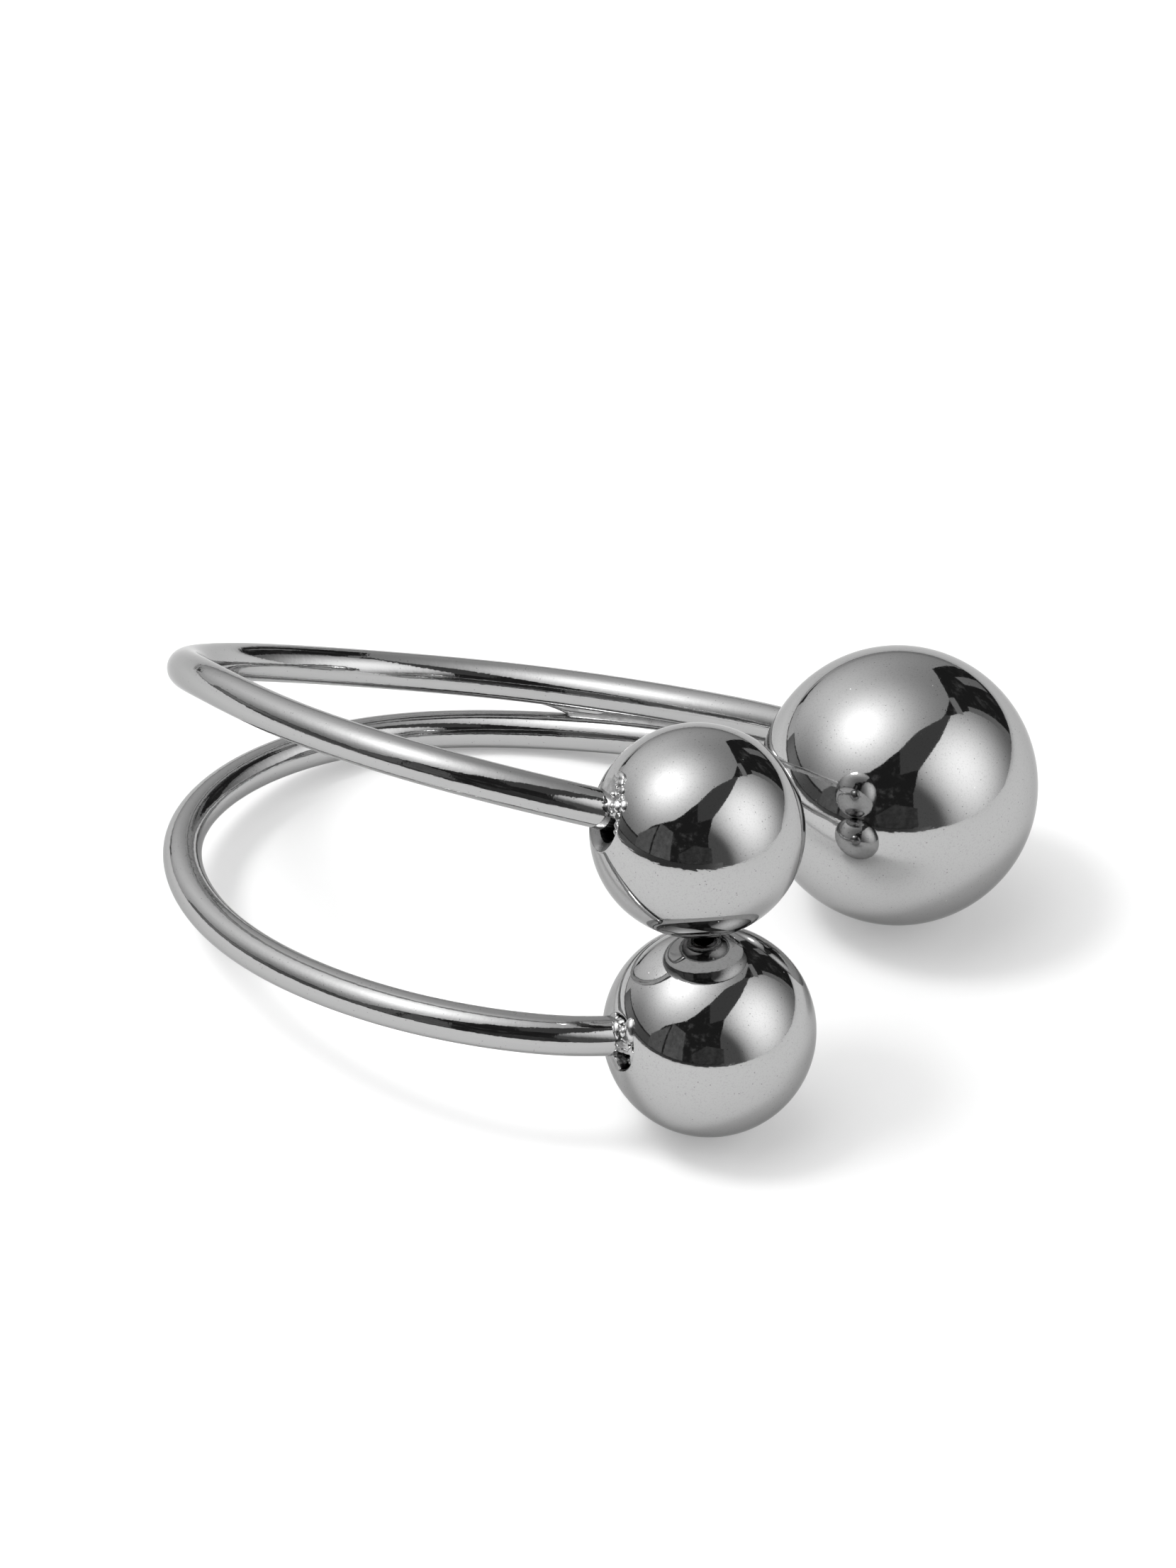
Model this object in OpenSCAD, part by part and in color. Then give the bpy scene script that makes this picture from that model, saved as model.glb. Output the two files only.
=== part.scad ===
// Adjustable open ring made of two round wires and three balls.
// The wires are soldered side by side behind the large ball, spread as they go round
// the finger, and end in two small balls that stand one on the other in front.
// The ring lies on its side, as it rests by itself: on the large ball, on the lower
// small ball and on the lower wire.

/* [Balls] */
// Diameter of the large ball
large_ball_d = 10; // [9.6:0.1:10.4]
// Diameter of each small ball
small_ball_d = 7.4; // [7.2:0.1:7.6]
// Gap between the two small balls
ball_gap = 0.05; // [0.02:0.01:0.1]
// Roundness of the balls
ball_fn = 96; // [48:16:128]

/* [Wires] */
// Diameter of each wire
wire_d = 1.4; // [1.2:0.05:1.4]
// Distance between the two wires' centre lines where they are soldered together
wire_pitch = 1.38; // [1.1:0.01:1.38]
// Length of each wire inside its small ball
small_insert = 1.2; // [0.8:0.1:1.5]
// Length of both wires inside the large ball
large_insert = 1.6; // [1:0.1:2]
// Sides of a wire's round section
wire_sides = 16; // [12:2:20]
// Rings along each span between two rows of a wire's table
span_rings = 7; // [5:1:8]

/* [Drilled holes] */
// Diameter of the oversized hole in each small ball
small_hole_d = 2.5; // [2.5:0.1:2.8]
// Depth of that hole, measured from the ball's surface
small_hole_depth = 2.2; // [1.8:0.1:2.6]
// Diameter of the hole in the large ball, which takes both wires
large_hole_d = 3; // [2.9:0.1:3.4]
// Depth of that hole, measured from the ball's surface
large_hole_depth = 2.4; // [2.2:0.1:3]

/* [Solder] */
// Half the thickness of the solder web between the two wires
seam_r = 0.36; // [0.2:0.02:0.5]
// Number of rings, counted from the large ball, along which the wires are soldered
seam_rings = 20; // [10:1:21]
// Radius of the solder plug round the end of a wire
plug_r = 0.78; // [0.7:0.02:0.8]

/* [Resting] */
// Tilt of the ring's plane, about the X axis, as the ring lies
ring_tilt = 20; // [19:0.5:21]

/* [Hidden] */

// The ring frame has its origin at the large ball's centre and its third axis along
// the finger. Both wires run round this point of the ring's plane:
finger_axis = [-15, -1];

// Columns of a wire's table: the angle round the finger, the reach from the finger's
// axis to the wire's centre line, and the rise above the ring's plane
ANGLE = 0;
REACH = 1;
RISE = 2;
// Rows from the large ball, at the back, round the left and to the small balls
LOWER_WIRE = [
    [ 50, 12.3, -0.7],
    [ 80, 12.0, -0.8],
    [110, 12.0, -0.7],
    [140, 11.6, -1.2],
    [170, 11.2, -2.2],
    [200, 10.4, -3.4],
    [230, 10.4, -4.2],
    [260, 11.9, -4.7],
];
UPPER_WIRE = [
    [ 50, 12.3, 0.6],
    [ 80, 12.0, 0.9],
    [110, 12.0, 1.6],
    [140, 11.7, 2.9],
    [170, 10.9, 4.2],
    [200, 10.2, 5.2],
    [230, 10.4, 4.9],
    [260, 12.0, 4.4],
];

// Columns of a joint: the directions, seen from the ball's centre, in which the wire
// leaves and in which the hole was drilled, each as an azimuth and a rise
WIRE_AZIMUTH = 0;
WIRE_RISE = 1;
HOLE_AZIMUTH = 2;
HOLE_RISE = 3;
LOWER_JOINT = [199, 2.5, 203, -1];
UPPER_JOINT = [192, 16, 199, 12.5];
LARGE_JOINT = [124.3, 0, 124.3, 0];

// Length of straight wire on each side of the ball's mouth
small_lead = 3.0;
large_lead = 3.1;
// Rise of each solder plug's middle above the axis of its hole
plug_lift = 0.3;
// Share of its section that the solder web has lost where it ends
seam_taper = 0.9;
// Roundness of the solder
solder_fn = 16;

large_r = large_ball_d / 2;
small_r = small_ball_d / 2;
wire_r = wire_d / 2;

function unit(v) = v / norm(v);

function direction(azimuth, rise) =
    [cos(azimuth) * cos(rise), sin(azimuth) * cos(rise), sin(rise)];

// A point of the ring frame, as it lies on the table under the large ball
function lying(p) = [
    p.x,
    p.y * cos(ring_tilt) + p.z * sin(ring_tilt),
    -p.y * sin(ring_tilt) + p.z * cos(ring_tilt) + large_r
];

// The lower ball touches the table beside the large one
lower_side = [-6.85, -11.45];
lower_centre = [
    lower_side.x,
    lower_side.y,
    (small_r - large_r + lower_side.y * sin(ring_tilt)) / cos(ring_tilt)
];
// The upper ball stands on the lower one and leans back a little
stack_lean = unit([-0.45, -0.85, 7.35]);
upper_centre = lower_centre + stack_lean * (small_ball_d + ball_gap);

// Guide points of a wire from its small ball to the large one. Three points on one
// line keep the wire straight where it enters a ball.
function straight(centre, way, middle, lead) =
    [for (step = [-lead, 0, lead]) centre + way * (middle + step)];

function around_finger(table) = [
    for (i = [len(table) - 1 : -1 : 0])
        let (row = table[i])
        [
            finger_axis.x + row[REACH] * cos(row[ANGLE]),
            finger_axis.y + row[REACH] * sin(row[ANGLE]),
            row[RISE]
        ]
];

function reversed(list) = [for (i = [len(list) - 1 : -1 : 0]) list[i]];

function guide(table, centre, joint, side) = concat(
    straight(
        centre,
        direction(joint[WIRE_AZIMUTH], joint[WIRE_RISE]),
        small_r - small_insert,
        small_lead
    ),
    around_finger(table),
    reversed(straight(
        [0, 0, side * wire_pitch / 2],
        direction(LARGE_JOINT[WIRE_AZIMUTH], LARGE_JOINT[WIRE_RISE]),
        large_r - large_insert,
        large_lead
    ))
);

// A smooth cubic curve that four neighbouring guide points pull on
function spline_point(g, i, t) = (
    pow(1 - t, 3) * g[i]
    + (3 * pow(t, 3) - 6 * pow(t, 2) + 4) * g[i + 1]
    + (-3 * pow(t, 3) + 3 * pow(t, 2) + 3 * t + 1) * g[i + 2]
    + pow(t, 3) * g[i + 3]
) / 6;

function centre_line(g) = let (spans = len(g) - 3) [
    for (k = [0 : spans * span_rings])
        let (i = min(floor(k / span_rings), spans - 1))
        spline_point(g, i, k / span_rings - i)
];

lower_line = centre_line(guide(LOWER_WIRE, lower_centre, LOWER_JOINT, -1));
upper_line = centre_line(guide(UPPER_WIRE, upper_centre, UPPER_JOINT, 1));
last_ring = len(lower_line) - 1;

// The origin is under the middle of the box round the whole ring
lying_wires = [for (p = concat(lower_line, upper_line)) lying(p)];
box_left = min([for (p = lying_wires) p.x]) - wire_r;
box_back = max([for (p = lying_wires) p.y]) + wire_r;
box_front = lying(lower_centre).y - small_r;
origin_shift = [-(box_left + large_r) / 2, -(box_front + box_back) / 2, large_r];

module laid() {
    translate(origin_shift)
        rotate([-ring_tilt, 0, 0])
            children();
}

// Points an upright part along a direction given as an azimuth and a rise
module pointed(azimuth, rise) {
    rotate([0, 90 - rise, azimuth])
        children();
}

// One wire: a round section swept along its centre line
module wire(line) {
    function heading(i) = unit(line[min(i + 1, last_ring)] - line[max(i - 1, 0)]);
    function across(i) = unit(cross(heading(i), [0, 0, 1]));
    function over(i) = cross(across(i), heading(i));
    points = [
        for (i = [0 : last_ring])
            for (s = [0 : wire_sides - 1])
                let (a = 360 * s / wire_sides)
                line[i] + wire_r * (cos(a) * across(i) + sin(a) * over(i))
    ];
    walls = [
        for (i = [0 : last_ring - 1])
            for (s = [0 : wire_sides - 1])
                let (a = i * wire_sides + s, b = i * wire_sides + (s + 1) % wire_sides)
                each [[a, b, b + wire_sides], [a, b + wire_sides, a + wire_sides]]
    ];
    first_end = [for (s = [wire_sides - 1 : -1 : 0]) s];
    last_end = [for (s = [0 : wire_sides - 1]) last_ring * wire_sides + s];
    polyhedron(points, concat(walls, [first_end, last_end]));
}

// The solder web that joins the two wires from the large ball to where they part
module solder_seam() {
    middle = [
        for (k = [0 : seam_rings])
            (lower_line[last_ring - k] + upper_line[last_ring - k]) / 2
    ];
    function thickness(k) = seam_r * sqrt(1 - seam_taper * pow(k / seam_rings, 3));
    for (k = [0 : seam_rings - 1])
        hull() {
            translate(middle[k])
                sphere(r = thickness(k), $fn = solder_fn);
            translate(middle[k + 1])
                sphere(r = thickness(k + 1), $fn = solder_fn);
        }
}

// The solder that holds the end of a wire in the upper part of its hole
module solder_plug(centre, joint) {
    wire_way = direction(joint[WIRE_AZIMUTH], joint[WIRE_RISE]);
    hole_way = direction(joint[HOLE_AZIMUTH], joint[HOLE_RISE]);
    wire_end = small_r - small_insert;
    hull() {
        translate(centre + wire_way * wire_end)
            sphere(r = plug_r, $fn = solder_fn);
        translate(centre + hole_way * (small_r - plug_r) + [0, 0, plug_lift])
            sphere(r = plug_r, $fn = solder_fn);
    }
}

module wire_band() {
    color("silver")
        laid() {
            wire(lower_line);
            wire(upper_line);
            solder_seam();
            solder_plug(lower_centre, LOWER_JOINT);
            solder_plug(upper_centre, UPPER_JOINT);
        }
}

// A ball with one round blind hole towards its centre
module drilled_ball(centre, ball_r, hole_r, hole_depth, joint) {
    color("silver")
        laid()
            translate(centre)
                difference() {
                    sphere(r = ball_r, $fn = ball_fn);
                    pointed(joint[HOLE_AZIMUTH], joint[HOLE_RISE])
                        translate([0, 0, ball_r - hole_depth])
                            cylinder(r = hole_r, h = ball_r, $fn = ball_fn);
                }
}

module large_ball() {
    drilled_ball([0, 0, 0], large_r, large_hole_d / 2, large_hole_depth, LARGE_JOINT);
}

module upper_ball() {
    drilled_ball(upper_centre, small_r, small_hole_d / 2, small_hole_depth, UPPER_JOINT);
}

module lower_ball() {
    drilled_ball(lower_centre, small_r, small_hole_d / 2, small_hole_depth, LOWER_JOINT);
}

wire_band();
large_ball();
upper_ball();
lower_ball();
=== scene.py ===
import math

import bmesh
import bpy
from mathutils import Matrix, Vector, noise


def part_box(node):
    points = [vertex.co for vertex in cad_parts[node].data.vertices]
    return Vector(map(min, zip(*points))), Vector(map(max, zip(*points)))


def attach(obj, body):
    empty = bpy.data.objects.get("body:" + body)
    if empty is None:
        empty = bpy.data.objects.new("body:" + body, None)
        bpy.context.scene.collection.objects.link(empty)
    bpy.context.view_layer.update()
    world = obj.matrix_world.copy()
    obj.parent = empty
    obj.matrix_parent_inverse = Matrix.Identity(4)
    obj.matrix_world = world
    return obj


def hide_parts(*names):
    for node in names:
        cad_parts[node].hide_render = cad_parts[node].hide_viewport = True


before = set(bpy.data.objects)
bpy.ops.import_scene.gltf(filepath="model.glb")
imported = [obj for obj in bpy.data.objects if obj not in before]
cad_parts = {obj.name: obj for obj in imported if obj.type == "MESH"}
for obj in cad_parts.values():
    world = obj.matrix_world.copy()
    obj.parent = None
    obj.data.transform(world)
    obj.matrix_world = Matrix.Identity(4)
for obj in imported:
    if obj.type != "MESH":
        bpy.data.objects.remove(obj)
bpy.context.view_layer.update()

# An adjustable open ring: two round wires, three mirror-polished balls and their solder.
# It is built in millimetres in the ring's own frame, whose origin is the large ball's
# centre and whose third axis runs along the finger, and is then laid where the CAD has it.
MM = 0.001
RING_TILT = math.radians(20)
BODY = "root"
WIRE_NODE = "wire_band"

LARGE_R = 5.0
SMALL_R = 3.7
WIRE_R = 0.7
WIRE_PITCH = 1.38
# What polishing took off the balls and the wires
POLISHED_OFF = 0.005
FINGER_AXIS = (-15.0, -1.0)

# Rows of a wire: the angle round the finger, the reach to its centre line and the rise
LOWER_WIRE = [
    (50, 12.3, -0.7),
    (80, 12.0, -0.8),
    (110, 12.0, -0.7),
    (140, 11.6, -1.2),
    (170, 11.2, -2.2),
    (200, 10.4, -3.4),
    (230, 10.4, -4.2),
    (260, 11.9, -4.7),
]
UPPER_WIRE = [
    (50, 12.3, 0.6),
    (80, 12.0, 0.9),
    (110, 12.0, 1.6),
    (140, 11.7, 2.9),
    (170, 10.9, 4.2),
    (200, 10.2, 5.2),
    (230, 10.4, 4.9),
    (260, 12.0, 4.4),
]


def middle(node):
    low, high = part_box(node)
    return (low + high) / 2


RING_TO_ROW = (
    Matrix.Translation(middle("large_ball"))
    @ Matrix.Rotation(-RING_TILT, 4, "X")
    @ Matrix.Scale(MM, 4)
)
ROW_TO_RING = RING_TO_ROW.inverted()


def toward(azimuth, rise):
    """A direction in the ring's frame."""
    a, r = math.radians(azimuth), math.radians(rise)
    return Vector((math.cos(a) * math.cos(r), math.sin(a) * math.cos(r), math.sin(r)))


class Joint:
    """A ball, the blind hole drilled in it and the way in which the wire leaves it.

    insert is the length of wire inside the ball, and lead is the distance between the
    guide points that keep the wire straight there."""

    def __init__(self, node, ball_r, wire_way, hole_way, hole_r, countersink, insert, lead):
        self.node = node
        self.ball_r = ball_r
        self.centre = ROW_TO_RING @ middle(node)
        self.wire_way = toward(*wire_way)
        self.hole_way = toward(*hole_way)
        self.hole_r = hole_r
        self.countersink = countersink
        self.insert = insert
        self.lead = lead

    def hole_frame(self):
        """Its third axis comes out of the hole and its second one points up."""
        out = self.hole_way
        up = (Vector((0, 0, 1)) - out * out.z).normalized()
        side = up.cross(out)
        turn = Matrix((side, up, out)).transposed().to_4x4()
        return Matrix.Translation(self.centre) @ turn

    def straight(self, side=0.0):
        """Three guide points on one line, which keep the wire straight as it enters."""
        start = self.centre + Vector((0, 0, side * WIRE_PITCH / 2))
        reach = self.ball_r - self.insert
        return [start + self.wire_way * (reach + step) for step in (-self.lead, 0, self.lead)]


LARGE = Joint(
    "large_ball",
    LARGE_R,
    wire_way=(124.3, 0),
    hole_way=(124.3, 0),
    hole_r=1.5,
    countersink=0.05,
    insert=1.6,
    lead=3.1,
)
UPPER = Joint(
    "upper_ball",
    SMALL_R,
    wire_way=(192, 16),
    hole_way=(200.5, 14.5),
    hole_r=1.24,
    countersink=0.32,
    insert=1.2,
    lead=3.0,
)
LOWER = Joint(
    "lower_ball",
    SMALL_R,
    wire_way=(199, 2.5),
    hole_way=(208.5, 1.5),
    hole_r=1.0,
    countersink=0.05,
    insert=1.2,
    lead=3.0,
)


# Lines
def around_finger(table):
    points = []
    for angle, reach, rise in reversed(table):
        a = math.radians(angle)
        x = FINGER_AXIS[0] + reach * math.cos(a)
        y = FINGER_AXIS[1] + reach * math.sin(a)
        points.append(Vector((x, y, rise)))
    return points


def guide(table, joint, side):
    """Guide points of a wire from its small ball to the large one."""
    return joint.straight() + around_finger(table) + LARGE.straight(side)[::-1]


def spline_point(g, i, t):
    """A point of the smooth cubic curve that four neighbouring guide points pull on."""
    weights = (
        (1 - t) ** 3,
        3 * t**3 - 6 * t**2 + 4,
        -3 * t**3 + 3 * t**2 + 3 * t + 1,
        t**3,
    )
    total = Vector((0, 0, 0))
    for weight, point in zip(weights, g[i:i + 4]):
        total += point * (weight / 6)
    return total


def centre_line(g, rings_per_span):
    spans = len(g) - 3
    line = []
    for k in range(spans * rings_per_span + 1):
        i = min(k // rings_per_span, spans - 1)
        line.append(spline_point(g, i, k / rings_per_span - i))
    return line


# Shader arithmetic
class Signal:
    """A shader socket that takes part in Python arithmetic."""

    def __init__(self, net, socket):
        self.net = net
        self.socket = socket

    def math(self, operation, *values):
        return self.net.make("ShaderNodeMath", {"operation": operation}, dict(enumerate(values)))

    def __add__(self, other):
        return self.math("ADD", self, other)

    def __radd__(self, other):
        return self.math("ADD", other, self)

    def __sub__(self, other):
        return self.math("SUBTRACT", self, other)

    def __rsub__(self, other):
        return self.math("SUBTRACT", other, self)

    def __mul__(self, other):
        return self.math("MULTIPLY", self, other)

    def __rmul__(self, other):
        return self.math("MULTIPLY", other, self)

    def __truediv__(self, other):
        return self.math("DIVIDE", self, other)

    def exp(self):
        return self.math("EXPONENT", self)

    def arccos(self):
        return self.math("ARCCOSINE", self)

    def at_most(self, limit):
        return self.math("MINIMUM", self, limit)

    def at_least(self, limit, softness):
        """The larger of both, with a soft change from one to the other."""
        return self.math("SMOOTH_MAX", self, limit, softness)

    def smooth(self, low, high):
        """0 below low, 1 above high and a smooth step between."""
        return self.net.make(
            "ShaderNodeMapRange",
            {"interpolation_type": "SMOOTHSTEP"},
            {"Value": self, "From Min": low, "From Max": high},
        )


class Net:
    """The node tree of one material."""

    def __init__(self, tree):
        self.tree = tree
        self.tree.nodes.clear()

    def make(self, kind, settings, inputs, output=0):
        node = self.tree.nodes.new(kind)
        for name, value in settings.items():
            setattr(node, name, value)
        for key, value in inputs.items():
            if isinstance(value, Signal):
                self.tree.links.new(value.socket, node.inputs[key])
            else:
                node.inputs[key].default_value = value
        if node.outputs:
            return Signal(self, node.outputs[output])

    def place(self):
        return self.make("ShaderNodeTexCoord", {}, {}, "Object")

    def seen(self):
        """1 for what the camera sees and 0 for what lights or is mirrored."""
        return self.make("ShaderNodeLightPath", {}, {}, "Is Camera Ray")

    def attribute(self, name, output="Vector"):
        return self.make("ShaderNodeAttribute", {"attribute_name": name}, {}, output)

    def stretched(self, vector, scale):
        return self.make("ShaderNodeMapping", {}, {"Vector": vector, "Scale": scale})

    def noise(self, vector, scale, detail=2.0, roughness=0.5):
        inputs = {"Vector": vector, "Scale": scale, "Detail": detail, "Roughness": roughness}
        return self.make("ShaderNodeTexNoise", {}, inputs, "Fac")

    def cells(self, vector, scale):
        """The distance to the nearest of many scattered points."""
        inputs = {"Vector": vector, "Scale": scale}
        return self.make("ShaderNodeTexVoronoi", {}, inputs, "Distance")

    def vector_math(self, operation, first, second):
        """A number worked out from two vectors."""
        settings = {"operation": operation}
        return self.make("ShaderNodeVectorMath", settings, {0: first, 1: second}, "Value")

    def axis(self, vector, name):
        """One coordinate of a vector: X, Y or Z."""
        return self.make("ShaderNodeSeparateXYZ", {}, {"Vector": vector}, name)

    def grey(self, level):
        """A grey colour from a signal."""
        inputs = {"Red": level, "Green": level, "Blue": level}
        return self.make("ShaderNodeCombineColor", {}, inputs)

    def bump(self, height, depth):
        return self.make("ShaderNodeBump", {}, {"Height": height, "Distance": depth})

    def emission(self, strength):
        return self.make("ShaderNodeEmission", {}, {"Strength": strength})

    def surface(self, shader):
        self.make("ShaderNodeOutputMaterial", {}, {"Surface": shader})


def new_material(name):
    material = bpy.data.materials.new(name)
    material.use_nodes = True
    return material, Net(material.node_tree)


# Finishes
METAL_GREY = 0.49
EDGE_TINT = (0.66, 0.66, 0.66, 1.0)
MICRON = 1e-6


def metal(net, level, roughness, height, depth=MICRON):
    """Bare metal of a grey level, with marks whose height is counted in steps of depth."""
    shader = net.make(
        "ShaderNodeBsdfPrincipled",
        {},
        {
            "Base Color": net.grey(level),
            "Metallic": 1.0,
            "Specular Tint": EDGE_TINT,
            "Roughness": roughness,
            "Normal": net.bump(height, depth),
        },
    )
    net.surface(shader)


# Scattered marks: the scale of the noise that picks them, how sharply it picks, and the
# share of a mark that is flat
PICK_SCALE = 0.45
PICK_STEP = 0.08
FLAT_SHARE = 0.3


def scattered(net, place, scale, size, density):
    """Small round marks, 1 at their middles. Size is a share of their spacing, and a
    higher density leaves fewer of them."""
    distance = net.cells(place, scale)
    chosen = net.noise(place, scale * PICK_SCALE, detail=1.0).smooth(density, density + PICK_STEP)
    return (1 - distance.smooth(FLAT_SHARE * size, size)) * chosen


def ball_finish():
    material, net = new_material("mirror_polished_ball")
    place = net.place()
    ripple = net.noise(place, 7500.0, detail=3.0, roughness=0.65)
    wave = net.noise(place, 900.0)
    mottle = net.noise(place, 16000.0, detail=3.0, roughness=0.7).smooth(0.5, 0.75)
    pits = scattered(net, place, scale=5200.0, size=0.17, density=0.46)
    specks = scattered(net, place, scale=1500.0, size=0.06, density=0.53)
    level = METAL_GREY * (1 - 0.5 * pits) * (1.04 - 0.2 * mottle) + 0.4 * specks
    roughness = 0.04 + 0.03 * mottle + 0.12 * pits + 0.6 * specks
    metal(net, level, roughness, 0.6 * ripple + 1.3 * wave - 0.4 * pits)
    return material


def wire_finish():
    material, net = new_material("drawn_and_polished_wire")
    place = net.place()
    along = net.attribute("wire_space")
    lines = net.noise(net.stretched(along, (0.5, 9.0, 9.0)), 1.0, detail=3.0, roughness=0.65)
    dents = net.noise(net.stretched(along, (2.5, 3.0, 3.0)), 1.0, detail=2.0, roughness=0.6)
    burrs = net.noise(net.stretched(along, (13.0, 3.5, 3.5)), 1.0, detail=2.0, roughness=0.6)
    ripple = net.noise(place, 9000.0, detail=2.0, roughness=0.6)
    pits = scattered(net, place, scale=5200.0, size=0.17, density=0.44)
    level = METAL_GREY * (1 - 0.35 * pits) * (0.96 + 0.08 * lines)
    height = 0.9 * ripple + 0.8 * burrs + 1.4 * lines + 5.0 * dents - 0.6 * pits
    metal(net, level, 0.04 + 0.05 * lines + 0.2 * pits, height)
    return material


def solder_finish(name, waviness, shine, dullness=0.18, bead_highlight=0.0):
    """Solder and scraped metal. Beads that stand out of a ball get a painted highlight."""
    material, net = new_material(name)
    place = net.place()
    waves = net.noise(place, 2600.0, detail=3.0, roughness=0.6)
    grain = net.noise(place, 12000.0, detail=2.0, roughness=0.6)
    tarnish = net.noise(place, 1800.0).smooth(0.45, 0.75)
    level = shine * (1.05 - 0.3 * tarnish)
    if bead_highlight > 0:
        # Painted highlight: chosen beads are coloured lighter, and more so the higher they stand
        level = level + bead_highlight * net.attribute("painted_bead_highlight", "Fac")
    metal(net, level, dullness + 0.12 * tarnish, waviness * waves + 0.8 * grain)
    return material


def bore_finish():
    material, net = new_material("drilled_bore_painted_dark")
    crust = net.noise(net.place(), 5000.0, detail=4.0, roughness=0.7)
    # Painted shade: the bore is coloured nearly black for the shade deep in the hole, and the
    # crust noise lightens it in patches
    metal(net, 0.02 + 0.14 * crust.smooth(0.45, 0.75), 0.5, crust, 14 * MICRON)
    return material


BALL_METAL = ball_finish()
WIRE_METAL = wire_finish()
SOLDER_METAL = solder_finish(
    "bright_solder", waviness=4.0, shine=0.5, dullness=0.2, bead_highlight=0.34
)
SEAM_METAL = solder_finish("smooth_solder", waviness=0.8, shine=METAL_GREY)
BORE_METAL = bore_finish()
COUNTERSINK_METAL = solder_finish("scraped_countersink", waviness=5.0, shine=0.56, dullness=0.26)


# Pieces
WELD = 1e-5


def finished(bm, name, placed, materials, node):
    """Makes the mesh a piece of the ring: welded, facing outwards, smooth and laid."""
    bmesh.ops.remove_doubles(bm, verts=bm.verts, dist=WELD)
    bmesh.ops.recalc_face_normals(bm, faces=bm.faces)
    bmesh.ops.transform(bm, matrix=RING_TO_ROW @ placed, verts=bm.verts)
    for face in bm.faces:
        face.smooth = True
    mesh = bpy.data.meshes.new(name)
    bm.to_mesh(mesh)
    bm.free()
    for material in materials:
        mesh.materials.append(material)
    piece = bpy.data.objects.new(name, mesh)
    bpy.context.scene.collection.objects.link(piece)
    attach(piece, BODY)
    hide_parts(node)


BALL_SIDES = 224
ARC_ROWS = 150
RIM_ROWS = 6
RIM_R = 0.04
HOLE_DEPTH = 2.2
# Depth of a countersink for its width
COUNTERSINK_SLOPE = 0.55
# Shares of the bore's depth at which its wall has a row
WALL_ROWS = (0.1, 0.25, 0.5, 0.75, 0.94)
# The bore's floor: the width and the drop of its edge, and the depth of the drill's tip
FLOOR_EDGE = 0.15
FLOOR_DROP = 0.02
FLOOR_TIP = 0.25


def rim_and_bore(ball_r, joint):
    """Heights above the ball's centre: the middle of the rim's rounding, and the top of
    the bore under the countersink."""
    rim_z = math.sqrt((ball_r - RIM_R) ** 2 - (joint.hole_r + RIM_R) ** 2)
    return rim_z, rim_z - joint.countersink * COUNTERSINK_SLOPE


def ball_profile(ball_r, joint):
    """Half of a drilled ball's section, from its far pole to the middle of the floor."""
    rim_z, bore_z = rim_and_bore(ball_r, joint)
    rim_x = joint.hole_r + RIM_R
    rim_start = math.atan2(rim_z, rim_x)
    points = []
    for k in range(ARC_ROWS + 1):
        a = -math.pi / 2 + (rim_start + math.pi / 2) * k / ARC_ROWS
        points.append((ball_r * math.cos(a), ball_r * math.sin(a)))
    for k in range(1, RIM_ROWS + 1):
        a = rim_start + (math.pi - rim_start) * k / RIM_ROWS
        points.append((rim_x + RIM_R * math.cos(a), rim_z + RIM_R * math.sin(a)))
    floor_z = ball_r - HOLE_DEPTH
    bore_r = joint.hole_r - joint.countersink
    points.append((bore_r, bore_z))
    for share in WALL_ROWS:
        points.append((bore_r, bore_z + (floor_z - bore_z) * share))
    points.append((bore_r - FLOOR_EDGE, floor_z - FLOOR_DROP))
    points.append((0.0, floor_z - FLOOR_TIP))
    return points


def drilled_ball(name, joint):
    ball_r = joint.ball_r - POLISHED_OFF
    bm = bmesh.new()
    verts = [bm.verts.new((x, 0, z)) for x, z in ball_profile(ball_r, joint)]
    edges = [bm.edges.new(pair) for pair in zip(verts, verts[1:])]
    bmesh.ops.spin(
        bm,
        geom=verts + edges,
        cent=(0, 0, 0),
        axis=(0, 0, 1),
        angle=2 * math.pi,
        steps=BALL_SIDES,
        use_merge=True,
    )
    materials = [BALL_METAL, COUNTERSINK_METAL, BORE_METAL]
    rim_z, bore_z = rim_and_bore(ball_r, joint)
    for face in bm.faces:
        place = face.calc_center_median()
        if 0 < place.z < rim_z and math.hypot(place.x, place.y) < joint.hole_r:
            inside = BORE_METAL if place.z < bore_z else COUNTERSINK_METAL
            face.material_index = materials.index(inside)
    finished(bm, name, joint.hole_frame(), materials, joint.node)


def ring_frames(line, widths, heights):
    """A frame at each point of a line: its third axis runs along the line."""
    frames = []
    last = len(line) - 1
    for k, point in enumerate(line):
        heading = (line[min(k + 1, last)] - line[max(k - 1, 0)]).normalized()
        across = heading.cross(Vector((0, 0, 1))).normalized()
        over = across.cross(heading)
        turn = Matrix((across, over, heading)).transposed().to_4x4()
        size = Matrix.Diagonal((widths[k], heights[k], 1.0, 1.0))
        frames.append(Matrix.Translation(point) @ turn @ size)
    return frames


def mark_ring(ring, ring_frame, width, height, space, distance):
    """Writes the wire_space of a ring's vertices."""
    back = ring_frame.inverted()
    for vert in ring:
        local = back @ vert.co
        vert[space] = (distance, local.x * width, local.y * height)


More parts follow.
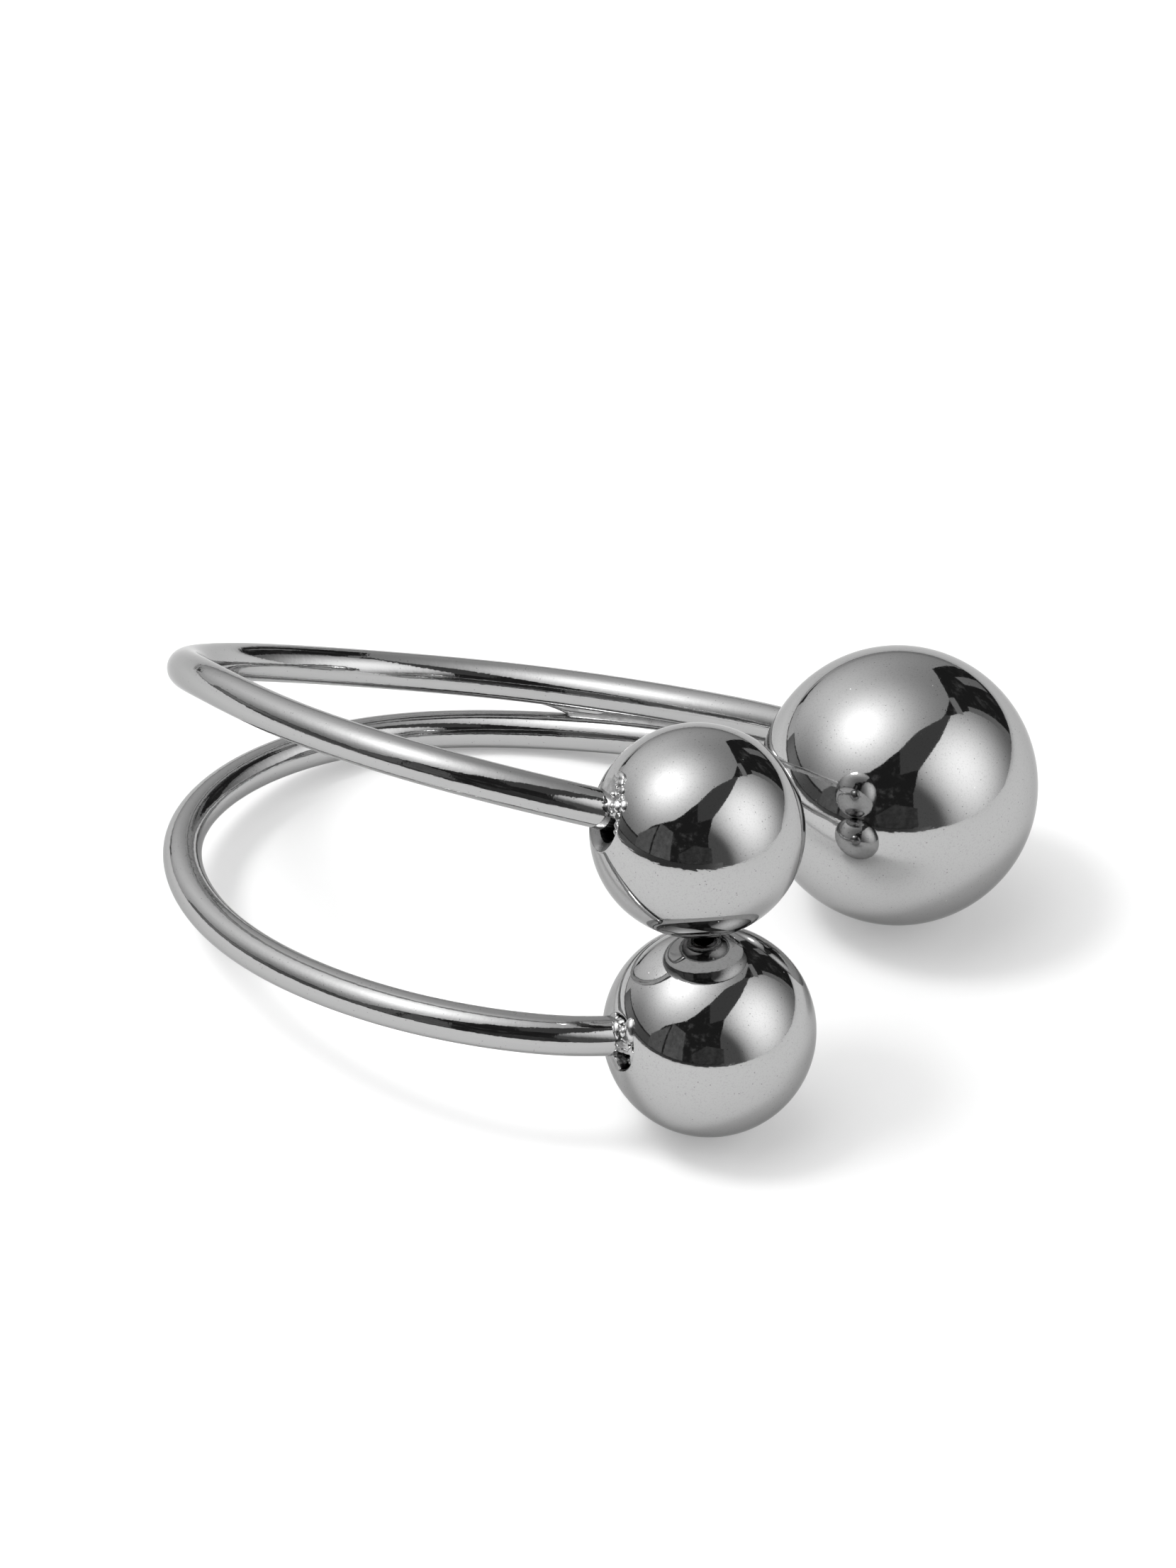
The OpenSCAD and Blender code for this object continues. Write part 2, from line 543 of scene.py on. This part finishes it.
def swept_round(name, line, widths, heights, sides, material):
    """An oval section swept along a line. Its wire_space attribute is the place of each
    vertex on the straightened wire, in millimetres."""
    bm = bmesh.new()
    space = bm.verts.layers.float_vector.new("wire_space")
    frames = ring_frames(line, widths, heights)
    ring = bmesh.ops.create_circle(bm, cap_ends=False, radius=1.0, segments=sides)["verts"]
    edges = list(bm.edges)
    bmesh.ops.transform(bm, matrix=frames[0], verts=ring)
    distance = 0.0
    mark_ring(ring, frames[0], widths[0], heights[0], space, distance)
    ends = [edges]
    for k in range(1, len(line)):
        grown = bmesh.ops.extrude_edge_only(bm, edges=edges)["geom"]
        ring = [item for item in grown if isinstance(item, bmesh.types.BMVert)]
        edges = [item for item in grown if isinstance(item, bmesh.types.BMEdge)]
        bmesh.ops.transform(bm, matrix=frames[k] @ frames[k - 1].inverted(), verts=ring)
        distance += (line[k] - line[k - 1]).length
        mark_ring(ring, frames[k], widths[k], heights[k], space, distance)
    ends.append(edges)
    for end in ends:
        bmesh.ops.edgeloop_fill(bm, edges=end)
    finished(bm, name, Matrix.Identity(4), [material], WIRE_NODE)


def add_drops(bm, drops):
    """Each drop is a place, three radii, a turn in degrees about the hole's axis and, for a
    bead, the strength of its painted highlight."""
    for place, radii, turn, *_ in drops:
        drop = bmesh.ops.create_icosphere(bm, subdivisions=4, radius=1.0)["verts"]
        matrix = (
            Matrix.Translation(place)
            @ Matrix.Rotation(math.radians(turn), 4, "Z")
            @ Matrix.Diagonal((*radii, 1.0))
        )
        bmesh.ops.transform(bm, matrix=matrix, verts=drop)


def melted(bm, voxel):
    """Everything in the bmesh melted into one skin."""
    mesh = bpy.data.meshes.new("drops")
    bm.to_mesh(mesh)
    bm.free()
    drops = bpy.data.objects.new("drops", mesh)
    bpy.context.scene.collection.objects.link(drops)
    melt = drops.modifiers.new("melt", "REMESH")
    melt.mode = "VOXEL"
    melt.voxel_size = voxel
    bpy.context.view_layer.update()
    skin = drops.evaluated_get(bpy.context.evaluated_depsgraph_get()).to_mesh()
    bm = bmesh.new()
    bm.from_mesh(skin)
    bpy.data.objects.remove(drops)
    return bm


# How far under a ball's surface the solder was ground flush, and how near to that a vertex
# still belongs to the ground face
FLUSH_RECESS = 0.005
FLUSH_REACH = 0.02
# Height at which a bead has its full painted highlight
BEAD_HEIGHT = 0.08
SMOOTHINGS = 3
ROUGHNESS = 0.008
ROUGHNESS_PER_MM = 7.0


def bead_highlight_at(place, beads, flush):
    """The painted highlight at a place: that of the nearest bead, less where it is low."""
    nearest = min(beads, key=lambda bead: (place - Vector(bead[0])).length)
    height = min(max((place.length - flush) / BEAD_HEIGHT, 0.0), 1.0)
    return height * nearest[3]


def solder(name, joint, fill, beads, voxel=0.025):
    """A fill that was ground flush with the ball, and beads of solder that stand on it."""
    bm = bmesh.new()
    add_drops(bm, fill)
    bm = melted(bm, voxel)
    flush = joint.ball_r - POLISHED_OFF - FLUSH_RECESS
    for vert in bm.verts:
        if vert.co.length > flush:
            vert.co *= flush / vert.co.length
    add_drops(bm, beads)
    bm = melted(bm, voxel)
    for _ in range(SMOOTHINGS):
        bmesh.ops.smooth_vert(
            bm, verts=bm.verts, factor=0.5, use_axis_x=True, use_axis_y=True, use_axis_z=True
        )
    bm.normal_update()
    painted_bead_highlight = bm.verts.layers.float.new("painted_bead_highlight")
    for vert in bm.verts:
        if abs(vert.co.length - flush) < FLUSH_REACH:
            vert.co *= flush / vert.co.length
        else:
            vert.co += vert.normal * ROUGHNESS * noise.noise(vert.co * ROUGHNESS_PER_MM)
            # Painted highlight of the nearest bead, kept for each vertex
            vert[painted_bead_highlight] = bead_highlight_at(vert.co, beads, flush)
    finished(bm, name, joint.hole_frame(), [SOLDER_METAL], WIRE_NODE)


# The wires
RINGS_PER_SPAN = 30
WIRE_SIDES = 64
lower_line = centre_line(guide(LOWER_WIRE, LOWER, -1), RINGS_PER_SPAN)
upper_line = centre_line(guide(UPPER_WIRE, UPPER, 1), RINGS_PER_SPAN)
wire_radii = [WIRE_R - POLISHED_OFF] * len(lower_line)
swept_round("lower_wire", lower_line, wire_radii, wire_radii, WIRE_SIDES, WIRE_METAL)
swept_round("upper_wire", upper_line, wire_radii, wire_radii, WIRE_SIDES, WIRE_METAL)

# The seam. Its rings are counted from the large ball, like these pairs of points across it
SEAM_PAIRS = list(zip(upper_line[::-1], lower_line[::-1]))
SEAM_R = 0.36
SEAM_SIDES = 48
SEAM_RINGS = 84
# Share of its section that the seam has lost at its end, and how late it loses that
SEAM_TAPER = 0.65
SEAM_TAPER_POWER = 6
# The solder at the seam's end: its rings before and after that end, its sides, how deep
# it is set in the upper wire, and how quickly it thins out
FILLET_ROOT_RINGS = 14
FILLET_RINGS = 6
FILLET_SIDES = 32
FILLET_EMBEDDED = 0.08
FILLET_THINNING = 1.6


def solder_seam():
    pairs = SEAM_PAIRS[:SEAM_RINGS + 1]
    line = [(a + b) / 2 for a, b in pairs]
    shares = [k / SEAM_RINGS for k in range(SEAM_RINGS + 1)]
    widths = [SEAM_R * math.sqrt(1 - SEAM_TAPER * share**SEAM_TAPER_POWER) for share in shares]
    heights = [(a - b).length / 2 for a, b in pairs]
    swept_round("solder_seam", line, widths, heights, SEAM_SIDES, SEAM_METAL)


def solder_seam_end():
    """Where the seam ends its solder swells a little and thins out along the upper wire."""
    upper_end, lower_end = SEAM_PAIRS[SEAM_RINGS]
    opening = (upper_end - lower_end).length - 2 * WIRE_R
    line = []
    radii = []
    for k in range(-FILLET_ROOT_RINGS, FILLET_RINGS + 1):
        upper_point, lower_point = SEAM_PAIRS[SEAM_RINGS + k]
        if k < 0:
            swelling = math.sqrt(1 - (k / FILLET_ROOT_RINGS) ** 2)
        else:
            swelling = (1 - k / FILLET_RINGS) ** FILLET_THINNING
        across = (lower_point - upper_point).normalized()
        line.append(upper_point + across * (WIRE_R - FILLET_EMBEDDED))
        radii.append(FILLET_EMBEDDED + opening * swelling)
    swept_round("solder_seam_end", line, radii, radii, FILLET_SIDES, SEAM_METAL)


solder_seam()
solder_seam_end()

# The balls
drilled_ball("large_ball_polished", LARGE)
drilled_ball("upper_ball_polished", UPPER)
drilled_ball("lower_ball_polished", LOWER)

# Solder in the balls' holes, as drops in each hole's frame
LARGE_FILL = [
    ((0, 0, 4.2), (1.9, 1.9, 0.9), 0),
]
LARGE_BEADS = [
    ((-0.82, 0.1, 4.84), (0.26, 0.5, 0.14), 0, 0.2),
    ((0.84, -0.15, 4.83), (0.24, 0.45, 0.14), 0, 0.2),
]
UPPER_FILL = [
    ((-0.25, 0.55, 2.6), (0.72, 0.62, 0.7), 0),
    ((-0.35, 0.95, 3.4), (0.78, 0.36, 0.45), 0),
    ((0.3, 0.9, 3.35), (0.6, 0.4, 0.45), 0),
    ((0.58, 0.52, 3.25), (0.58, 0.5, 0.42), 0),
    ((-0.95, 0.35, 3.4), (0.28, 0.75, 0.4), 0),
]
UPPER_BEADS = [
    ((0.2, 1.36, 3.36), (0.46, 0.27, 0.16), 10, 0.2),
    ((0.42, 1.2, 3.38), (0.34, 0.22, 0.16), 20, 0.1),
    ((0.74, 1.0, 3.38), (0.27, 0.2, 0.15), 50, 0.1),
    ((0.95, 0.83, 3.39), (0.18, 0.14, 0.15), 50, 0.2),
    ((0.49, 0.86, 3.55), (0.12, 0.11, 0.13), 0, 0.9),
    ((0.88, 0.56, 3.4), (0.19, 0.29, 0.24), 33, 1.0),
    ((1.18, 0.66, 3.28), (0.2, 0.28, 0.26), 33, 1.0),
    ((0.62, 0.47, 3.5), (0.12, 0.18, 0.16), 20, 0.5),
    ((0.72, 0.27, 3.48), (0.15, 0.13, 0.17), 0, 0.2),
    ((1.06, 0.22, 3.4), (0.17, 0.17, 0.14), 20, 0.4),
    ((1.1, -0.06, 3.41), (0.2, 0.11, 0.12), -20, 0.3),
    ((1.14, -0.28, 3.39), (0.17, 0.11, 0.12), -30, 0.3),
]
LOWER_FILL = [
    ((-0.3, 0.25, 2.6), (0.8, 0.65, 0.7), 0),
    ((-0.4, -0.78, 3.45), (0.5, 0.36, 0.5), -10),
    ((-1.0, -0.2, 3.4), (0.3, 0.6, 0.45), 0),
    ((-0.62, 0.85, 3.4), (0.46, 0.27, 0.45), -15),
    ((0.3, 0.35, 3.3), (0.62, 0.48, 0.5), 0),
    ((0.5, -0.04, 3.3), (0.5, 0.26, 0.45), -12),
    ((-0.02, 0.68, 3.35), (0.4, 0.22, 0.3), 0),
    ((0.97, -0.4, 3.3), (0.16, 0.4, 0.45), 0),
    ((0.1, -0.08, 3.35), (0.6, 0.23, 0.45), -8),
    ((0.35, -0.6, 2.85), (0.6, 0.45, 0.34), 0),
]
LOWER_BEADS = [
    ((0.72, 0.6, 3.36), (0.32, 0.5, 0.34), 12, 0.5),
    ((0.22, 0.72, 3.54), (0.16, 0.16, 0.18), 0, 1.0),
    ((0.38, 0.47, 3.52), (0.18, 0.22, 0.21), 0, 1.0),
    ((-0.02, 0.4, 3.58), (0.19, 0.36, 0.2), 25, 0.8),
    ((0.4, 0.18, 3.5), (0.4, 0.17, 0.2), -10, 0.2),
    ((0.02, -0.04, 3.67), (0.28, 0.06, 0.07), -16, 0.0),
    ((0.52, -0.12, 3.63), (0.32, 0.06, 0.07), 0, 0.0),
    ((0.87, -0.03, 3.57), (0.16, 0.06, 0.07), 50, 0.0),
    ((0.64, -0.58, 3.16), (0.07, 0.3, 0.26), 0, 0.0),
    ((0.38, -0.6, 3.1), (0.06, 0.3, 0.26), 0, 0.0),
]
solder("large_solder", LARGE, LARGE_FILL, LARGE_BEADS, voxel=0.04)
solder("upper_solder", UPPER, UPPER_FILL, UPPER_BEADS)
solder("lower_solder", LOWER, LOWER_FILL, LOWER_BEADS)


# The studio. Its sizes are in metres, and its panels are mirrored in the metal.
def compass(bearing, rise):
    """A direction in the row frame. Bearing 0 looks away from the camera, 90 to the right."""
    b, r = math.radians(bearing), math.radians(rise)
    return Vector((math.sin(b) * math.cos(r), math.cos(b) * math.cos(r), math.sin(r)))


# Keeps rounding errors out of the arccosine
LARGEST_COSINE = 0.999999


def spread(net, bearing, rise, width):
    """A soft lobe of light round one direction: 1 at its middle."""
    way = net.make("ShaderNodeVectorMath", {"operation": "NORMALIZE"}, {0: net.place()})
    cosine = net.vector_math("DOT_PRODUCT", way, compass(bearing, rise))
    share = cosine.at_most(LARGEST_COSINE).arccos() / math.radians(width)
    return (-1.0 * share * share).exp()


# How softly a panel's light changes to its least level, and the size of its patches
LEAST_SOFTNESS = 0.3
PATCH_SCALE = 9.0


def glow(name, level, lobes=(), least=0.0, patchy=0.0):
    """A panel's light: an even level and soft lobes, each a bearing, rise, width and level.

    least is a floor under their sum, and patchy is how far the even level varies."""
    material, net = new_material(name)
    strength = level
    if patchy > 0:
        patches = net.noise(net.place(), PATCH_SCALE, detail=4.0, roughness=0.6)
        strength = level * (1 - patchy + 2 * patchy * patches)
    for bearing, rise, width, lobe_level in lobes:
        strength = strength + lobe_level * spread(net, bearing, rise, width)
    if least > 0:
        strength = strength.at_least(least, LEAST_SOFTNESS)
    net.surface(net.emission(strength))
    return material


def panel(name, points, material, seen=False):
    bm = bmesh.new()
    bmesh.ops.contextual_create(bm, geom=[bm.verts.new(p) for p in points])
    mesh = bpy.data.meshes.new(name)
    bm.to_mesh(mesh)
    bm.free()
    mesh.materials.append(material)
    sheet = bpy.data.objects.new(name, mesh)
    sheet.visible_camera = seen
    bpy.context.scene.collection.objects.link(sheet)


def overhead(name, height, corners, **light):
    """A level panel. Its corners are where they are seen from the ring: bearing and rise."""
    points = [compass(b, r) * (height / math.sin(math.radians(r))) for b, r in corners]
    panel(name, points, glow(name + "_light", **light))


def standing(name, facing, distance, corners, **light):
    """An upright panel at a distance from the ring, in the bearing it is seen at."""
    points = []
    for b, r in corners:
        reach = math.cos(math.radians(r)) * math.cos(math.radians(b - facing))
        points.append(compass(b, r) * (distance / reach))
    panel(name, points, glow(name + "_light", **light))


overhead(
    "softbox_overhead",
    height=0.5,
    corners=[
        (-113, 9.6),
        (-123, 27),
        (-146, 42),
        (-156, 50),
        (180, 64),
        (120, 73),
        (90, 66.8),
        (75, 58.6),
        (66.6, 54.6),
        (47.5, 45),
        (29.8, 36.9),
        (17.5, 24.6),
        (18.4, 3),
        (-20, 3),
        (-45, 4.5),
        (-60, 8),
    ],
    level=0.3,
    lobes=[
        (-88, 63, 33, 1.65),
        (-88, 63, 16, 0.5),
        (-35, 20, 28, 0.5),
        (0, 12, 25, 0.12),
        (-88, 20, 26, -0.2),
    ],
)
standing(
    "softbox_right",
    facing=112,
    distance=0.8,
    corners=[
        (57, 1.2),
        (57, 33),
        (68, 51),
        (110, 57),
        (158, 46),
        (168, 28),
        (169, -3),
        (150, -8),
        (80, -8),
    ],
    level=0.05,
    lobes=[(114, 36, 37, 1.6), (112, 0, 30, 0.4), (170, 6, 30, -1.0), (140, -4, 20, 0.15)],
    least=0.11,
)
overhead(
    "arch",
    height=1.6,
    corners=[(66, 44), (120, 40), (180, 44), (180, 80), (90, 80)],
    level=0.075,
)
standing(
    "ledge",
    facing=56,
    distance=1.2,
    corners=[(45, 40), (67, 40), (67, 45), (45, 45)],
    level=0.25,
)
standing(
    "side_strip",
    facing=56,
    distance=1.2,
    corners=[(53, 0.5), (58, 0.5), (58, 34), (53, 34)],
    level=0.2,
)
standing(
    "doorway",
    facing=30,
    distance=1.2,
    corners=[(27, 3), (33, 3), (33, 20), (27, 20)],
    level=0.23,
)
standing(
    "left_wall",
    facing=-130,
    distance=1.2,
    corners=[(-152, 0.5), (-131, 0.5), (-131, 34), (-150, 30)],
    level=0.13,
    patchy=0.7,
)
standing(
    "left_wall_far",
    facing=-120,
    distance=1.2,
    corners=[(-129, 0.5), (-112, 0.5), (-112, 12), (-129, 30)],
    level=0.14,
    patchy=0.5,
)
standing(
    "skirting",
    facing=-100,
    distance=1.8,
    corners=[(-115, 0.5), (-55, 0.5), (-55, 7), (-115, 8)],
    level=0.1,
    lobes=[(-70, 3, 16, 0.16)],
)
standing(
    "skirting_left",
    facing=-65,
    distance=1.8,
    corners=[(-55, 0.5), (-35, 0.5), (-35, 5.2), (-55, 7)],
    level=0.62,
)
standing(
    "skirting_back",
    facing=-10,
    distance=1.8,
    corners=[(-35, 0.3), (20, 0.3), (20, 3.5), (-20, 3.5), (-35, 5.2)],
    level=0.3,
    lobes=[(-35, 2, 30, 0.35)],
)
standing(
    "low_shelf",
    facing=180,
    distance=1.3,
    corners=[(150, 0.5), (196, 0.5), (200, 9), (184, 20), (168, 17), (150, 9)],
    level=0.055,
    patchy=1.0,
)


def disk_lamp(name, aim, distance, half_width, radiance):
    """A round lamp that shines on the ring from the direction of aim. Its half width is in
    degrees, as seen from the ring."""
    radius = distance * math.tan(math.radians(half_width))
    lamp = bpy.data.lights.new(name, "AREA")
    lamp.shape = "DISK"
    lamp.size = 2 * radius
    lamp.energy = radiance * math.pi * math.pi * radius**2
    stand = bpy.data.objects.new(name, lamp)
    facing = aim.to_track_quat("Z", "Y").to_matrix().to_4x4()
    stand.matrix_world = Matrix.Translation(aim * distance) @ facing
    stand.visible_camera = False
    bpy.context.scene.collection.objects.link(stand)
    return stand


# The round hot spot in the overhead softbox
disk_lamp("key_lamp", compass(-88, 63), distance=0.5, half_width=8.5, radiance=14.0)
# A soft light that lifts the shadows and isn't seen in the metal
soft_fill = disk_lamp("soft_fill", Vector((0, 0, 1)), distance=0.4, half_width=40, radiance=0.35)
soft_fill.visible_glossy = False


# The paper: its own grey, how much the camera sees it lifted, and its grain
PAPER_GREY = 0.67
PAPER_LIFT = 0.11
PAPER_GRAIN = 0.005
# Where a painted fall-off of light darkens its colour, measured from this point, and by what
# share
PAPER_BRIGHT_POINT = (0.04, 0, 0)
PAPER_PAINTED_FALLOFF = 0.12
# The paper's painted glow, which lightens its shadows: for all rays, for the camera, and
# for the camera in front of the wires, where it washes out their shadow
PAPER_GLOW = 0.2
PAPER_GLOW_CAMERA_LIFT = 0.05
FRONT_SHADOW_WASH = 0.18


def white_paper():
    """Its light is lifted for the camera, most of all in front of the wires, where painted
    light washes out their shadow. Its colour darkens away from the ring, as painted shade."""
    material, net = new_material("white_paper")
    place = net.place()
    seen = net.seen()
    away = net.vector_math("DISTANCE", place, PAPER_BRIGHT_POINT).smooth(0.07, 0.14)
    grain = net.noise(place, 300.0)
    white = PAPER_GREY + PAPER_LIFT * seen + PAPER_GRAIN * grain
    # Painted shade: the paper's colour darkens away from the ring, as a painted fall-off of light
    white = white * (1 - PAPER_PAINTED_FALLOFF * away)
    paper = net.make("ShaderNodeBsdfDiffuse", {}, {"Color": net.grey(white)})
    # Painted light: in front of the wires and left of the ring, the camera sees the paper glow
    # more, which washes out the wires' shadow there
    left = 1 - net.axis(place, "X").smooth(0.0, 0.003)
    front = 1 - net.axis(place, "Y").smooth(-0.004, 0.001)
    lift = PAPER_GLOW_CAMERA_LIFT + FRONT_SHADOW_WASH * (left * front)
    painted_glow = net.emission(PAPER_GLOW + lift * seen)
    net.surface(net.make("ShaderNodeAddShader", {}, {0: paper, 1: painted_glow}))
    return material


# Points along each side of the torn sheet, how far it is torn, and the tears' pitch
TEAR_STEPS = 8
TEAR_DEPTH = 0.5
TEAR_PITCH = 0.31


def torn_edge(corners):
    """Points along a sheet's rough edge. Each corner is a bearing and a distance."""
    points = []
    for (b0, d0), (b1, d1) in zip(corners, corners[1:]):
        for k in range(TEAR_STEPS):
            bearing = b0 + (b1 - b0) * k / TEAR_STEPS
            distance = d0 + (d1 - d0) * k / TEAR_STEPS
            tear = noise.noise(Vector((bearing * TEAR_PITCH, 0, 0)))
            points.append(compass(bearing, 0) * (distance * (1 + TEAR_DEPTH * tear)))
    return points


SHEET_EDGE = [
    (-40, 1.5),
    (-62, 0.7),
    (-80, 0.17),
    (-95, 0.115),
    (-120, 0.11),
    (-150, 0.11),
    (-180, 0.115),
    (-200, 0.118),
    (-220, 0.125),
    (-235, 0.118),
    (-255, 0.112),
    (-275, 0.13),
    (-290, 0.45),
    (-300, 1.5),
    (-330, 1.5),
    (-360, 1.5),
    (-400, 1.5),
]
panel("white_sheet", torn_edge(SHEET_EDGE), white_paper(), seen=True)

# The dark table shows round the sheet. It is cut away under the right softbox
TABLE_REACH = 1.5
TABLE_MIDDLE = Vector((0, 0, -0.002))
TABLE_BEARINGS = range(155, 421, 10)
panel(
    "dark_table",
    [compass(b, 0) * TABLE_REACH + TABLE_MIDDLE for b in TABLE_BEARINGS] + [TABLE_MIDDLE],
    glow("dark_table_light", level=0.05, lobes=[(-102, -3, 22, 0.1), (150, -3, 16, 0.15)]),
)


# Light that comes from the dark room, and from the pale things in it
ROOM_LEVEL = 0.02
CLUTTER_LEVEL = 0.09


def dark_room():
    """The room is dark to the ring and white behind it."""
    world = bpy.data.worlds.new("room")
    bpy.context.scene.world = world
    world.use_nodes = True
    net = Net(world.node_tree)
    seen = net.seen()
    way = net.make("ShaderNodeTexCoord", {}, {}, "Generated")
    clutter = net.noise(way, 7.0, detail=5.0, roughness=0.75).smooth(0.5, 0.75)
    strength = (ROOM_LEVEL + CLUTTER_LEVEL * clutter) * (1 - seen) + seen
    background = net.make(
        "ShaderNodeBackground", {}, {"Color": (1, 1, 1, 1), "Strength": strength}
    )
    net.make("ShaderNodeOutputWorld", {}, {"Surface": background})


dark_room()
bpy.context.scene.view_settings.view_transform = "Standard"


# The camera
CAMERA_PLACE = Vector((-0.4276, -233.155, 173.919)) * MM
CAMERA_TILT = math.radians(54.4)
PHOTO_HEIGHT = 2212
FOCAL_PIXELS = 11500
SENSOR = 36.0


def photo_camera():
    lens = bpy.data.cameras.new("photo_camera")
    lens.sensor_width = SENSOR
    lens.lens = FOCAL_PIXELS / PHOTO_HEIGHT * SENSOR
    lens.clip_start = 0.01
    lens.clip_end = 20.0
    camera = bpy.data.objects.new("photo_camera", lens)
    camera.matrix_world = Matrix.Translation(CAMERA_PLACE) @ Matrix.Rotation(CAMERA_TILT, 4, "X")
    bpy.context.scene.collection.objects.link(camera)
    bpy.context.scene.camera = camera


photo_camera()
